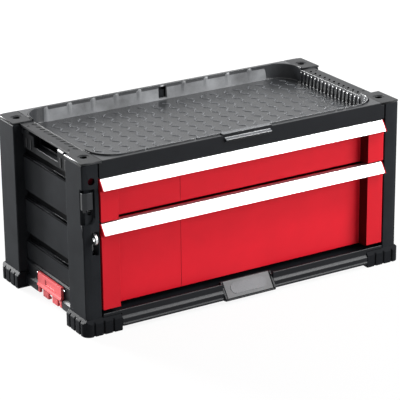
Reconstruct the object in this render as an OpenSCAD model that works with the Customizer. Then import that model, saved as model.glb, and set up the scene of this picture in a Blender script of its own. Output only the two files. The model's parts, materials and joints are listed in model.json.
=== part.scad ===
// Portable tool box with two drawers, a slatted top tray and drop handles.
// Origin: centre of the footprint on the floor. +X to the right, -Y to the front, +Z up.

/* [Case] */
// Width over the corner posts
case_w = 552; // [520:1:600]
// Depth over the corner posts
case_d = 271; // [262:1:300]
// Height to the top of the corner blocks
case_h = 266; // [262:1:280]
// Width of a corner post seen from the front
post_w = 25; // [24:0.5:27]
// Depth of a corner post seen from the side
post_d = 53.5; // [50:0.5:58]
// Thickness of the moulded walls
wall = 3; // [2.7:0.1:3.2]
// How far the side panels are set in from the posts
panel_set = 14; // [13:0.5:15]
// Thickness of the side panels
panel_t = 8; // [7.5:0.5:9]
// Depth of the long grooves in the side panels
groove_depth = 6; // [3:0.5:6]
// Height of the long grooves
groove_h = 12; // [8:1:14]

/* [Base and feet] */
// Length of a foot along the front
foot_w = 62; // [58:1:66]
// Length of a foot along the side
foot_l = 60.5; // [57:0.5:64]
// Height of a foot before its top chamfer
foot_h = 20; // [18:0.5:22]
// How far the feet stand out from the posts
foot_out = 5; // [4:0.5:7]
// Width of the upright grooves in the feet
foot_groove = 3; // [2:0.5:4]
// Distance between the upright grooves
foot_pitch = 15.7; // [14.5:0.1:16]
// Height of the deck under the drawers
deck_z = 24; // [22:0.5:25]
// Height of the front and back rails
rail_top = 31; // [30:0.5:33]
// Height of the side rails
side_rail_top = 46; // [44:0.5:50]

/* [Top tray] */
// Width of the rim beside the tray
tray_side = 32.5; // [32.5:0.5:56]
// Width of the rim in front of and behind the tray
tray_end = 7; // [7:0.5:15.5]
// Depth of the tray floor below the corner blocks
tray_deep = 23; // [20:0.5:23.5]
// Radius of the tray's corners outside the lip
tray_r = 40; // [30:1:50]
// Width of the lip around the tray
lip_w = 2.5; // [2:0.1:3]
// Height of the lip above the corner blocks
lip_h = 2; // [1:0.5:4]
// Height of the front fascia under the lip
fascia_h = 26; // [24:0.5:28]
// Distance between the slanted slots in the side rims
slot_pitch = 13; // [11:0.5:14.5]
// Length of a slanted slot
slot_l = 8; // [6:0.5:9]
// Width of a slanted slot
slot_w = 3; // [2:0.5:4]
// Radius of the four stacking holes
stack_r = 6; // [4:0.5:7]
// Distance of the stacking holes from the sides of the case
stack_in_x = 18; // [15:0.5:26]
// Distance of the stacking holes from its front and back
stack_in_y = 28.5; // [25.5:0.5:35.5]

/* [Drawers] */
// Share of the lower drawer in the height of both fronts
lower_share = 0.6687; // [0.64:0.0001:0.684]
// Gap between the front rail and the lower drawer
under_gap = 4.2; // [3:0.1:6]
// Gap between the two drawer fronts
between_gap = 1.5; // [1:0.1:2.5]
// Gap between the upper drawer front and the fascia
fascia_gap = 2; // [1.5:0.1:4]
// Gap between a drawer front and each post
side_gap = 3; // [2.4:0.1:4]
// Width of the raised strip at each end of a drawer front
strip_w = 28.5; // [27:0.5:34]
// Depth of the recessed middle of a drawer front
recess = 18; // [17.5:0.5:20]
// Gap between the drawer boxes and the back panel
tub_back_gap = 12; // [10:0.5:44]
// Thickness of the drawer box walls
tub_wall = 2.2; // [1.8:0.1:3]
// How far the lower drawer box ends below the top of its front
lower_tub_drop = 9.6; // [6.6:0.1:30]
// How far the upper drawer box ends below the top of its front
upper_tub_drop = 6.7; // [5.7:0.1:12.7]
// How far a pull rail is set in from each end of its drawer front
pull_inset = 1.5; // [1.5:0.5:28]
// Thickness of the pull rail's sheet
pull_t = 1.8; // [1.4:0.1:2.2]
// Height of the pull rail's slanted face
pull_h = 15.3; // [13:0.1:17]
// How far the slanted face reaches forward
pull_out = 11; // [9:0.5:13]

/* [Ball slides] */
// Thickness of a pair of slide members
slide_t = 12.5; // [12:0.1:13]
// Height of a slide
slide_h = 27; // [26:0.5:28]
// Gap between the slides and the back panel
slide_back_gap = 5; // [5:0.5:41]
// Thickness of the slide steel
steel_t = 1.2; // [1:0.1:1.3]
// Radius of the slide balls
ball_r = 1.5; // [1.3:0.05:1.55]
// Number of balls in a row
balls = 6; // [3:1:6]
// Distance between neighbouring balls
ball_pitch = 8; // [6:0.5:8]

/* [Handles, latches and lock] */
// Gap between a carrying handle and the posts
handle_gap = 10; // [9:0.5:22]
// Width of each leg of a handle
leg_w = 34; // [30:1:42]
// Height of a handle's grip bar
grip_h = 9.5; // [8:0.5:11]
// Distance from the handle's hinge down to its lower edge
handle_drop = 25; // [22:0.5:27]
// Radius of the handle hinge pins
handle_pin_r = 2; // [1.5:0.1:2.4]
// Running clearance of a pin in its bore
fit = 0.06; // [0.03:0.01:0.1]
// Width of a stacking latch
latch_w = 77; // [60:1:80]
// Radius of the latch hinge pins
latch_pin_r = 1.5; // [1.2:0.1:1.8]
// Travel of the central lock
lock_travel = 17; // [14:0.5:17]
// Height of the lock's thumb slider
knob_h = 26; // [22:0.5:28]
// Distance from the corner block's top down to the lock slider
knob_drop = 45; // [43:0.5:47]
// Radius of the lock's round window
window_r = 5.5; // [4:0.5:6]

/* [Hidden] */
$fn = 48;
eps = 0.1; // overshoot of cutting tools

// Outer planes
hx = case_w / 2;
hy = case_d / 2;
post_in = hx - post_w;
post_back = hy - post_d;
panel_x = hx - panel_set;
panel_in = panel_x - panel_t;
handle_wall_x = panel_in;
cap_t = 3.5;
post_top = case_h - cap_t;
back_y = hy - 6.5; // inner face of the back panel
back_t = 3;
back_rib_pitch = post_in * 0.24;

// Base
rail_out = 1.5;
rail_step = 3.3;
rail_bottom = 6.4;
side_lip = 5;
deck_t = 3;
deck_rib_h = 8;
deck_rib_pitch = post_in * 0.3;
foot_chamfer = 6;
foot_x0 = hx + foot_out - foot_w;
foot_y0 = hy + foot_out - foot_l;
foot_r = 12;
foot_groove_depth = 2;
foot_screw_in_x = 12;
foot_screw_in_y = 40;
foot_screw_x = hx - foot_screw_in_x;
foot_screw_y = hy - foot_screw_in_y;
foot_screw_z = foot_h - 6;
foot_groove_shift = 3; // towards the middle of the side
case_screw_r = 2;
case_screw_l = 26;
case_head_r = 4;
case_head_h = 2.4;
head_gap = 0.5;
back_screw_z0 = deck_z + 20;
back_screw_margin = 45; // of the three screws, from both ends together

// Stack of fronts, from the rail up to the fascia
fascia_z = case_h - fascia_h;
fronts_h = fascia_z - fascia_gap - between_gap - under_gap - rail_top;
lower_front_h = fronts_h * lower_share;
upper_front_h = fronts_h - lower_front_h;
lower_z = rail_top + under_gap;
upper_z = lower_z + lower_front_h + between_gap;
strip_lift = 1.5;

// Drawer fronts
front_hx = post_in - side_gap;
front_y = -hy - 0.5;
panel_y = front_y + recess;
recess_draft = 2;
front_back_y = panel_y + wall;
edge_return = 8;
tub_hx = post_in - slide_t;
tub_gap = 4;
tub_d = back_y - tub_back_gap - front_back_y;
lower_tub_h = lower_front_h - tub_gap - lower_tub_drop;
upper_tub_h = upper_front_h - tub_gap - upper_tub_drop;
tub_floor = 2.5;
tub_rim = 2.5;
mount_h = 23;
boss_r = 4.5;
boss_x = tub_hx - 9.5;

// Pull rail, measured from the top of its drawer front
pull_w = 2 * (front_hx - pull_inset);
pull_top_y = front_y + 3;
pull_flange = 8.5;
pull_leg = 9;
pull_len = sqrt(pull_out * pull_out + pull_h * pull_h);
pull_back_y = pull_top_y + pull_flange;
pull_ny = pull_h / pull_len;
pull_nz = pull_out / pull_len;
// where the underside of the slanted face meets the underside of the flange
pull_inner_y = pull_top_y + pull_t * pull_ny - (pull_t - pull_t * pull_nz) * pull_out / pull_h;
cheek_w = 2;

// Slides
upper_slide_z = upper_z + upper_front_h * 0.42;
lower_slide_z = lower_z + lower_front_h * 0.4457;
slide_y0 = front_back_y + 3;
slide_y1 = back_y - slide_back_gap;
slide_l = slide_y1 - slide_y0;
race = 3.2;
race_z = slide_h / 2 - steel_t - race / 2;
ball_x = post_in - 5;
cage_t = 0.8;
cage_l = balls * ball_pitch + 4;
cage_y = slide_y0 + slide_l / 2;
slide_seat_h = slide_h + 1;
slide_screw_inset = 12;
slide_screw_r = 1.75;
slide_head_r = 3.2;
rivet_r = 1.6;
rivet_inset = 20;

// Grooves in the side panels, from the top down
groove_z0 = 78;
groove_top_gap = 51;
groove_step = (case_h - groove_top_gap - groove_z0) / 2;

// Handles hang from pins just under the side rims
handle_w = 2 * (post_back - handle_gap);
grip_w = handle_w - 2 * leg_w;
rim_z = case_h - 2;
rim_out = 3;
pivot_x = handle_wall_x + 5.5;
pivot_z = case_h - 11;
handle_hub_r = 5;
handle_out = 5;
handle_in = 4.7;
lug_gap = 2;
lug_h = 10;
lug_out = 4;
rim_air = 8; // free height between the housing's wall and the side rim
finger_h = 18; // depth of the finger room in that wall
ridge_in = 8;
ridge_w = 3;
ridge_pitch = 14;
ridge_out = 0.8;
rib_pitch = 7.5;
rib_gap = 4.4;
pocket_z = pivot_z - handle_drop - 3;

// Stacking latches
latch_top = 41;
latch_bottom = 8;
latch_x = panel_x + side_lip;
latch_t = 4.5;
latch_pin_z = latch_top - 4;
latch_pin_x = latch_x - 3.6;
latch_gap = 1;
latch_hub_r = 3.2;
latch_ridge_z = latch_bottom + 11;
latch_ridge_out = 1.8;
latch_hook_w = 18;
latch_hook_z = latch_bottom - 2.5;
latch_tab_w = 6;
latch_field_w = 28;
latch_field_depth = 0.8;

// Central lock in the left front post, drawn on +X and mirrored
knob_z = case_h - knob_drop - knob_h;
channel_z0 = knob_z - 23;
channel_z1 = knob_z + knob_h + 5;
channel_in = hx - 19;
channel_deep = 5.5;
channel_side = 5;
channel_back = 10.5;
stem_x = hx - 10.5 - 5;
stem_w = 5;
stem_z = knob_z + 8;
stem_h = 10;
bar_t = 2.5;
bar_y = pull_back_y + 1.2 + bar_t;
bar_x0 = hx - 20;
bar_x1 = hx - 9;
bar_top = case_h - 16;
tooth_h = 5;
tooth_gap = 2.2;
tooth_reach = 13;
upper_tooth_z = upper_slide_z + slide_h / 2 + tooth_gap + lock_travel;
lower_tooth_z = lower_slide_z + slide_h / 2 + tooth_gap + lock_travel;
window_drop = 28.3;
window_x = hx - 14.2;
window_z = case_h - window_drop;
flag_h = 16;
eye_x = hx - 17;
eye_t = 3.5;
eye_slot_x = hx - 23;
eye_slot_w = 10;
eye_drop = 52.5;
eye_z = knob_z - eye_drop;
eye_h = 16.5;
eye_out = 10.5;
eye_hole_r = 3;
catch_gap = 1.5;
catch_t = 1.2;
catch_l = 26;
catch_w = 9;

// Badge
badge_hx = 41;
badge_frame = 4;
badge_t = 1.6;
badge_nose = 1.6;
badge_top_y = -hy + 8.5;
badge_bottom_y = -hy - 8;
badge_bottom_z = 8;
badge_run = badge_top_y - badge_bottom_y;
badge_rise = rail_top - badge_bottom_z;
badge_len = sqrt(badge_run * badge_run + badge_rise * badge_rise);
badge_ang = atan2(badge_run, badge_rise);
inlay_t = 0.6;
inlay_w = 2 * badge_hx - 20;
inlay_h = badge_len * 0.6;

// Tray
tray_w = case_w - 2 * tray_side;
tray_d = case_d - 2 * tray_end;
tray_z = case_h - tray_deep;
tray_floor_t = 2.5;
slots = 11;
slot_x = tray_w / 2 + 5.5;
rim_hole_r = 2;
rim_hole_x = panel_x - 2.5;
rim_hole_y = post_back - 17.5;
stack_x = hx - stack_in_x;
stack_y = hy - stack_in_y;
stack_ring = 3;
stack_ring_t = 0.8;
connector_hx = 43;
ledge_hx = 40;
ledge_out = 5.5;
notch_w = 3;
rear_slot_x = 1;
rear_slot_w = 12;

// ---------- helpers ----------

// outline (y, z) drawn out along X, centred
module along_x(len) {
    translate([-len / 2, 0, 0]) rotate([90, 0, 90]) linear_extrude(len) children();
}

// outline (x, z) drawn out along Y from y0 to y1
module along_y(y0, y1) {
    translate([0, y1, 0]) rotate([90, 0, 0]) linear_extrude(y1 - y0) children();
}

// box between two corners
module block(a, b) {
    translate(a) cube(b - a);
}

module both_x() {
    children();
    mirror([1, 0, 0]) children();
}

module both_y() {
    children();
    mirror([0, 1, 0]) children();
}

// rod along X from x0 to x1
module rod_x(x0, x1, y, z, r) {
    translate([x0, y, z]) rotate([0, 90, 0]) cylinder(r = r, h = x1 - x0);
}

// rod along Y from y0 to y1
module rod_y(y0, y1, x, z, r) {
    translate([x, y1, z]) rotate([90, 0, 0]) cylinder(r = r, h = y1 - y0);
}

// rectangle with four round corners, centred
module round_rect(w, d, r) {
    square([w - 2 * r, d], center = true);
    square([w, d - 2 * r], center = true);
    for (x = [-1, 1], y = [-1, 1])
        translate([x * (w / 2 - r), y * (d / 2 - r)]) circle(r = r, $fn = 96);
}

// ---------- base ----------

// one foot at +X, +Y, with its chamfered top and upright grooves
module foot() {
    x1 = hx + foot_out;
    y1 = hy + foot_out;
    top = foot_h + foot_chamfer;
    difference() {
        intersection() {
            linear_extrude(top) union() {
                polygon([[foot_x0, foot_y0], [x1, foot_y0], [x1, y1 - foot_r],
                         [x1 - foot_r, y1], [foot_x0, y1]]);
                translate([x1 - foot_r, y1 - foot_r]) circle(r = foot_r);
            }
            along_y(foot_y0, y1 + eps)
                polygon([[foot_x0, 0], [x1, 0], [x1, foot_h], [hx, top], [foot_x0, top]]);
            translate([(foot_x0 + x1) / 2, 0, 0]) along_x(foot_w)
                polygon([[foot_y0, 0], [y1, 0], [y1, foot_h], [hy, top], [foot_y0, top]]);
        }
        for (i = [-1:1]) {
            block([(foot_x0 + x1) / 2 + i * foot_pitch - foot_groove / 2,
                   y1 - foot_groove_depth, -eps],
                  [(foot_x0 + x1) / 2 + i * foot_pitch + foot_groove / 2, y1 + eps, top + eps]);
            block([x1 - foot_groove_depth,
                   (foot_y0 + y1) / 2 - foot_groove_shift + i * foot_pitch - foot_groove / 2, -eps],
                  [x1 + eps,
                   (foot_y0 + y1) / 2 - foot_groove_shift + i * foot_pitch + foot_groove / 2,
                   top + eps]);
        }
        post_socket();
        // screw into the post, driven from below
        translate([foot_screw_x, foot_screw_y, -eps]) {
            cylinder(r = case_screw_r, h = foot_h + 1);
            cylinder(r = case_head_r + head_gap, h = foot_screw_z + eps);
        }
    }
}

// room for a corner post in the base, at +X, +Y
module post_socket() {
    block([post_in, post_back, foot_h], [hx + eps, hy + eps, side_rail_top + 1]);
}

module corner_feet() {
    color("#2a2d31") both_x() both_y() foot();
}

// front rail: upright face, a 45 degree ledge, lower face and a small bottom bead
module rail_outline() {
    y = -hy - rail_out;
    ledge_z = rail_top - 10.2;
    polygon([[y, rail_top], [y, ledge_z], [y - rail_step, ledge_z - rail_step],
             [y - rail_step, rail_bottom + 4.5], [y - rail_step - 1.1, rail_bottom + 3.3],
             [y - rail_step - 1.1, rail_bottom], [y, rail_bottom],
             [y, ledge_z - rail_step - 1.5], [y + wall, ledge_z - 1.5], [y + wall, rail_top]]);
}

// side rail at +X
module side_rail_outline() {
    polygon([[panel_x, side_rail_top], [panel_x, 24], [latch_x, 19.5], [latch_x, 7.5],
             [latch_x - wall, 7.5], [latch_x - wall, 18], [panel_x - wall, 22.5],
             [panel_x - wall, side_rail_top - 6], [panel_in, side_rail_top - 6],
             [panel_in, side_rail_top]]);
}

// slanted seat of the badge between two cheeks
module badge_seat() {
    back = badge_top_y + wall;
    slope = [[back, rail_top], [badge_top_y, rail_top], [badge_bottom_y, badge_bottom_z],
             [badge_bottom_y - badge_nose, badge_bottom_z],
             [badge_bottom_y - badge_nose, rail_bottom - 1],
             [back, rail_bottom - 1]];
    along_x(2 * badge_hx + 2) polygon(slope);
    both_x() translate([badge_hx + badge_frame / 2 + 0.5, 0, 0]) along_x(badge_frame - 1)
        polygon([[back, rail_top], [badge_top_y - 2, rail_top],
                 [badge_bottom_y - badge_nose, badge_bottom_z + 2],
                 [badge_bottom_y - badge_nose, rail_bottom - 1], [back, rail_bottom - 1]]);
}

// space in front of the badge's slanted seat
module badge_space() {
    top_y = badge_top_y + badge_run / badge_rise;
    front = badge_bottom_y - badge_run;
    along_x(2 * badge_hx + 2) polygon([[top_y, rail_top + 1], [badge_bottom_y, badge_bottom_z],
                                       [front, badge_bottom_z], [front, rail_top + 1]]);
}

module base_frame() {
    color("#2a2d31") difference() {
        union() {
            block([-panel_x + wall / 2, -hy + 1, deck_z], [panel_x - wall / 2, hy - 1, deck_z + deck_t]);
            // ribs under the deck
            for (i = [-2:2]) translate([i * deck_rib_pitch, 0, 0])
                block([-wall / 2, -hy + 1, deck_z - deck_rib_h], [wall / 2, hy - 1, deck_z + eps]);
            difference() {
                along_x(2 * (post_in - 2)) rail_outline();
                block([-badge_hx - badge_frame, -hy - 12, 0],
                      [badge_hx + badge_frame, -hy + 8, rail_top + 1]);
            }
            badge_seat();
            mirror([0, 1, 0]) along_x(2 * (post_in - 2)) rail_outline();
            both_x() {
                along_y(-post_back, post_back) side_rail_outline();
                // housing of the latch
                block([panel_in - 3, -latch_w / 2 - 6, deck_z - 12],
                      [panel_x, latch_w / 2 + 6, side_rail_top - 1]);
            }
        }
        badge_space();
        both_x() {
            // pocket of the latch, open outwards and below
            block([latch_pin_x - 4.4, -latch_w / 2 - latch_gap, -eps],
                  [latch_x + 5, latch_w / 2 + latch_gap, latch_top + 2 * latch_gap]);
            rod_y(-latch_w / 2 - 7, latch_w / 2 + 7, latch_pin_x, latch_pin_z, latch_pin_r);
            both_y() {
                post_socket();
                // room of the corner feet
                block([foot_x0, foot_y0, -eps],
                      [hx + foot_out + eps, hy + 2 * foot_out, foot_h + foot_chamfer]);
            }
        }
    }
}

module badge_on_slope(t) {
    translate([0, badge_bottom_y, badge_bottom_z]) rotate([-badge_ang, 0, 0])
        translate([0, -t, badge_len / 2]) children();
}

module badge_plate() {
    color("#8d9095") badge_on_slope(badge_t)
        block([-badge_hx + 0.4, 0, -badge_len / 2 + 0.6], [badge_hx - 0.4, badge_t, badge_len / 2 - 0.8]);
}

module badge_inlay() {
    color("#74777c") badge_on_slope(badge_t) intersection() {
        rotate([90, 0, 0]) linear_extrude(inlay_t) round_rect(inlay_w, inlay_h, inlay_h / 2 - eps);
        block([-hx, -inlay_t, -badge_len], [hx, 0, badge_len]);
    }
}

// ---------- sides ----------

// corner post: a hollow box, open below, with a bevelled outer corner
module front_post(with_lock) {
    difference() {
        block([post_in, -hy, foot_h], [hx, -post_back, post_top]);
        difference() {
            block([post_in + wall, -hy + wall, foot_h - eps],
                  [hx - wall, -post_back - wall, post_top - wall]);
            if (with_lock) {
                // walls around the slider's channel
                block([post_in + wall, -hy, channel_z0 - wall],
                      [hx, -hy + channel_deep + wall, channel_z1 + wall]);
                block([hx - channel_side - wall, -hy, channel_z0 - wall],
                      [hx, -hy + channel_back + wall, channel_z1 + wall]);
            }
            translate([foot_screw_x, -foot_screw_y, 0]) cylinder(r = boss_r, h = foot_h + 25);
        }
        translate([foot_screw_x, -foot_screw_y, 0]) cylinder(r = case_screw_r, h = foot_h + 21);
        corner_bevel();
        translate([stack_x, -stack_y, post_top - wall - eps]) cylinder(r = stack_r, h = wall + 1);
    }
}

module corner_bevel() {
    linear_extrude(case_h)
        polygon([[hx + eps, -hy + 2.5], [hx, -hy + 2.5], [hx - 10, -hy], [hx - 10, -hy - eps],
                 [hx + eps, -hy - eps]]);
}

// openings for the lock in the left front post
module lock_cuts() {
    front = -hy - eps;
    // channel of the slider, around the corner, with a round lower end
    difference() {
        union() {
            block([channel_in, front, channel_z0 + 9.5], [hx + eps, -hy + channel_deep, channel_z1]);
            rod_y(front, -hy + channel_deep, channel_in + 9.5, channel_z0 + 9.5, 9.5);
            block([channel_in + 9.5, front, channel_z0], [hx + eps, -hy + channel_deep, channel_z0 + 10]);
            block([hx - channel_side, front, channel_z0], [hx + eps, -hy + channel_back, channel_z1]);
        }
        block([channel_in - 1, front, channel_z0 - 1], [channel_in, -hy + channel_deep, channel_z1]);
    }
    // slot of the slider's stem
    block([stem_x - 0.5, front, stem_z - lock_travel - 0.5],
          [stem_x + stem_w + 0.5, -hy + channel_deep + wall + eps, stem_z + stem_h + 0.5]);
    // round window
    rod_y(front, -hy + wall + eps, window_x, window_z, window_r);
    // slot of the padlock eye, and a slit in the side
    block([eye_slot_x, front, eye_z - lock_travel - 1],
          [eye_slot_x + eye_slot_w, -hy + wall + eps, eye_z + eye_h + 1]);
    block([hx - wall - eps, -hy + 4.5, eye_z + 10], [hx + eps, -hy + 5.7, eye_z + 21]);
    // slots of the two blocking teeth in the inner wall
    for (z = [upper_tooth_z, lower_tooth_z])
        block([post_in - eps, bar_y - bar_t - 0.8, z - lock_travel - 1],
              [post_in + wall + eps, bar_y + 0.8, z + tooth_h + 1]);
}

// panel between the posts, with the seats of the slides on its inner face
module side_panel() {
    difference() {
        union() {
            block([panel_in, -post_back, side_rail_top], [panel_x, post_back, pocket_z]);
            for (z = [upper_slide_z, lower_slide_z])
                block([post_in, -post_back, z - slide_seat_h / 2],
                      [panel_in + eps, post_back, z + slide_seat_h / 2]);
        }
        for (i = [0:2])
            block([panel_x - groove_depth, -post_back - eps, groove_z0 + i * groove_step],
                  [panel_x + eps, post_back + eps, groove_z0 + i * groove_step + groove_h]);
        // pockets between ribs on the inner face
        for (band = [[side_rail_top + wall, groove_z0 - 2],
                     [lower_slide_z + slide_seat_h / 2 + 2, groove_z0 + groove_step - 2],
                     [groove_z0 + groove_step + groove_h + 2, upper_slide_z - slide_seat_h / 2 - 2]])
            for (i = [-2:1])
                block([panel_in - eps, i * post_back / 2 + wall / 2, band[0]],
                      [panel_x - wall, (i + 1) * post_back / 2 - wall / 2, band[1]]);
        slide_screw_places() rod_x(-eps, 9, 0, 0, slide_screw_r);
    }
}

// wall behind a handle, with the two lugs that carry its pins
module handle_housing() {
    difference() {
        union() {
            block([post_in, -post_back, pocket_z - wall],
                  [handle_wall_x, post_back, rim_z - wall - rim_air]);
            both_y() block([post_in, handle_w / 2 + lug_gap, pivot_z - lug_h / 2],
                           [pivot_x + lug_out, post_back, rim_z - wall]);
        }
        // finger room behind the grip
        block([post_in - eps, -grip_w / 2, rim_z - wall - finger_h],
              [handle_wall_x + eps, grip_w / 2, rim_z]);
        handle_pin_bores();
    }
}

module handle_pin_bores() {
    both_y() rod_y(handle_w / 2, post_back + wall + 1, pivot_x, pivot_z, handle_pin_r);
}

// front post at +X with its bores
module front_post_moulding(with_lock) {
    difference() {
        front_post(with_lock);
        if (with_lock) lock_cuts();
        handle_pin_bores();
        slide_screw_places() rod_x(-eps, 9, 0, 0, slide_screw_r);
    }
}

// rear post at +X, with the ledge that carries the back panel
module rear_post_moulding() {
    difference() {
        union() {
            mirror([0, 1, 0]) front_post(false);
            block([post_in - 8, back_y - back_t, deck_z + deck_t], [post_in + eps, back_y, fascia_z - 4]);
        }
        handle_pin_bores();
        slide_screw_places() rod_x(-eps, 9, 0, 0, slide_screw_r);
        back_screw_places() rod_y(-8, 1, 0, 0, slide_screw_r);
    }
}

// Screws of the outer slide members: at +X, pointing outwards from the member's web
module slide_screw_places() {
    for (z = [upper_slide_z, lower_slide_z],
         y = [slide_y0 + slide_screw_inset, cage_y, slide_y1 - slide_screw_inset])
        translate([post_in, y, z]) children();
}

module back_screw_places() {
    for (i = [0:2])
        translate([post_in - 4, back_y + back_t,
                   back_screw_z0 + i * (fascia_z - deck_z - back_screw_margin) / 2])
            children();
}

module left_side() {
    color("#5a5d60") mirror([1, 0, 0]) side_panel();
}

module right_side() {
    color("#5a5d60") side_panel();
}

module left_front_post() {
    color("#5a5d60") mirror([1, 0, 0]) front_post_moulding(true);
}

module right_front_post() {
    color("#5a5d60") front_post_moulding(false);
}

module left_rear_post() {
    color("#5a5d60") mirror([1, 0, 0]) rear_post_moulding();
}

module right_rear_post() {
    color("#5a5d60") rear_post_moulding();
}

module left_handle_housing() {
    color("#5a5d60") mirror([1, 0, 0]) handle_housing();
}

module right_handle_housing() {
    color("#5a5d60") handle_housing();
}

module back_panel() {
    color("#2a2d31") difference() {
        union() {
            block([-post_in + 0.5, back_y, deck_z + deck_t], [post_in - 0.5, back_y + back_t, case_h - 8]);
            // stiffening ribs on the outside
            for (i = [-3:3]) translate([i * back_rib_pitch, 0, 0])
                block([-wall / 2, back_y + back_t - eps, rail_top + 4],
                      [wall / 2, hy - 0.5, fascia_z - 3]);
        }
        both_x() back_screw_places() rod_y(-8, 1, 0, 0, slide_screw_r);
    }
}

// ---------- top ----------

// tray with its lip, the flat rim in front and behind, and the two fascias
module top_tray() {
    color("#6f7275") difference() {
        union() {
            block([-tray_w / 2, -hy, post_top], [tray_w / 2, hy, case_h]);
            translate([0, 0, tray_z - tray_floor_t])
                linear_extrude(case_h + lip_h - tray_z + tray_floor_t) round_rect(tray_w, tray_d, tray_r);
            both_y() block([-post_in + 2, -hy, fascia_z], [post_in - 2, -hy + wall, post_top]);
            // connector in the middle of the front
            block([-connector_hx, -hy, case_h - eps], [connector_hx, -tray_d / 2 + lip_w, case_h + lip_h]);
            along_x(2 * ledge_hx) polygon([[-hy + eps, case_h - 3.5], [-hy - ledge_out, case_h - 6],
                                           [-hy - ledge_out, case_h - 8.5], [-hy + eps, case_h - 11]]);
        }
        translate([0, 0, tray_z])
            linear_extrude(case_h) round_rect(tray_w - 2 * lip_w, tray_d - 2 * lip_w, tray_r - lip_w);
        // lip cut down to the side rims between the corner blocks
        both_x() block([tray_w / 2 - lip_w - 1, -post_back, rim_z],
                       [tray_w / 2 + 1, post_back, case_h + lip_h + 1]);
        // notches in the lip
        for (x = [-0.345, -0.1745, 0.3368, 0.3696] * tray_w)
            block([x - notch_w / 2, -tray_d / 2 - 1, case_h],
                  [x + notch_w / 2, -tray_d / 2 + lip_w + 1, case_h + lip_h + 1]);
        // catch opening in the rear wall of the tray
        block([rear_slot_x, tray_d / 2 - lip_w - 1, tray_z + 3],
              [rear_slot_x + rear_slot_w, tray_d / 2 + 1, case_h - 2]);
    }
}

// end of the top beside the tray at +X: two corner blocks and the lower rim between them
module top_cap() {
    difference() {
        union() {
            both_y() block([tray_w / 2, post_back, post_top], [hx, hy, case_h]);
            block([tray_w / 2, -post_back, rim_z - wall], [panel_x + rim_out, post_back, rim_z]);
        }
        // bevelled corners in line with the posts
        both_y() corner_bevel();
        // slanted slots in the rim
        for (i = [0:slots - 1])
            translate([slot_x, (i - (slots - 1) / 2) * slot_pitch, rim_z - wall / 2])
                rotate([0, 0, 45]) cube([slot_l, slot_w, wall + 1], center = true);
        // small round holes over the ends of the handle
        both_y() translate([rim_hole_x, rim_hole_y, rim_z - wall - 1])
            cylinder(r = rim_hole_r, h = wall + 2);
        // stacking holes with a shallow ring
        both_y() translate([stack_x, stack_y, 0]) {
            translate([0, 0, post_top - 1]) cylinder(r = stack_r, h = cap_t + 2);
            translate([0, 0, case_h - stack_ring_t]) cylinder(r = stack_r + stack_ring, h = 2);
        }
    }
}

module left_top_cap() {
    color("#6f7275") mirror([1, 0, 0]) top_cap();
}

module right_top_cap() {
    color("#6f7275") top_cap();
}

// ---------- slides ----------

// outer member at +X, seated on the plane x = post_in
module outer_member(z) {
    half = slide_h / 2;
    difference() {
        translate([0, 0, z]) along_y(slide_y0, slide_y1)
            polygon([[post_in, -half], [post_in, half], [post_in - 10, half],
                     [post_in - 10, half - steel_t - 1.2], [post_in - 10 + steel_t, half - steel_t - 1.2],
                     [post_in - 10 + steel_t, half - steel_t], [post_in - steel_t, half - steel_t],
                     [post_in - steel_t, -half + steel_t], [post_in - 10 + steel_t, -half + steel_t],
                     [post_in - 10 + steel_t, -half + steel_t + 1.2],
                     [post_in - 10, -half + steel_t + 1.2], [post_in - 10, -half]]);
        for (y = [slide_y0 + slide_screw_inset, cage_y, slide_y1 - slide_screw_inset])
            rod_x(post_in - steel_t - eps, post_in + eps, y, z, slide_screw_r);
    }
}

module cabinet_slides() {
    color("#b8bcc0") both_x() for (z = [upper_slide_z, lower_slide_z]) outer_member(z);
}

module cabinet_slide_screws() {
    color("#8f9499") both_x() slide_screw_places() {
        rod_x(-steel_t, 6, 0, 0, slide_screw_r);
        rod_x(-steel_t - 0.9, -steel_t, 0, 0, slide_head_r);
    }
}

module case_screws() {
    color("#8f9499") both_x() {
        both_y() translate([foot_screw_x, foot_screw_y, foot_screw_z]) {
            cylinder(r = case_screw_r, h = case_screw_l);
            translate([0, 0, -case_head_h]) cylinder(r = case_head_r, h = case_head_h);
        }
        back_screw_places() {
            rod_y(-5.5, 0, 0, 0, slide_screw_r);
            rod_y(0, 1.8, 0, 0, slide_head_r);
        }
    }
}

// inner member at +X, riveted to the drawer box
module inner_member(z) {
    half = slide_h / 2 - steel_t - race;
    tip = ball_x + 1.6;
    difference() {
        translate([0, 0, z]) along_y(slide_y0, slide_y1)
            polygon([[tub_hx, -half], [tub_hx, half], [tip, half], [tip, half - steel_t],
                     [tub_hx + steel_t, half - steel_t], [tub_hx + steel_t, -half + steel_t],
                     [tip, -half + steel_t], [tip, -half]]);
        for (y = [slide_y0 + rivet_inset, slide_y1 - rivet_inset])
            rod_x(tub_hx - eps, tub_hx + steel_t + eps, y, z, rivet_r);
    }
}

module drawer_slides(z) {
    color("#c3c7cb") both_x() inner_member(z);
}

module row_places(z) {
    for (s = [-1, 1], i = [0:balls - 1])
        translate([ball_x, cage_y + (i - (balls - 1) / 2) * ball_pitch, z + s * race_z]) children();
}

module ball_cages(z) {
    web_x = ball_x + 2.9;
    color("#c9a24a") both_x() difference() {
        translate([0, 0, z]) along_y(cage_y - cage_l / 2, cage_y + cage_l / 2)
            polygon([[web_x, -race_z - cage_t / 2], [web_x, race_z + cage_t / 2],
                     [ball_x - 2.4, race_z + cage_t / 2], [ball_x - 2.4, race_z - cage_t / 2],
                     [web_x - cage_t, race_z - cage_t / 2], [web_x - cage_t, -race_z + cage_t / 2],
                     [ball_x - 2.4, -race_z + cage_t / 2], [ball_x - 2.4, -race_z - cage_t / 2]]);
        row_places(z) cylinder(r = ball_r + 0.05, h = 3, center = true);
    }
}

module ball_rows(z) {
    color("#e3e6e8") both_x() row_places(z) sphere(r = ball_r);
}

// ---------- drawers ----------

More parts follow.
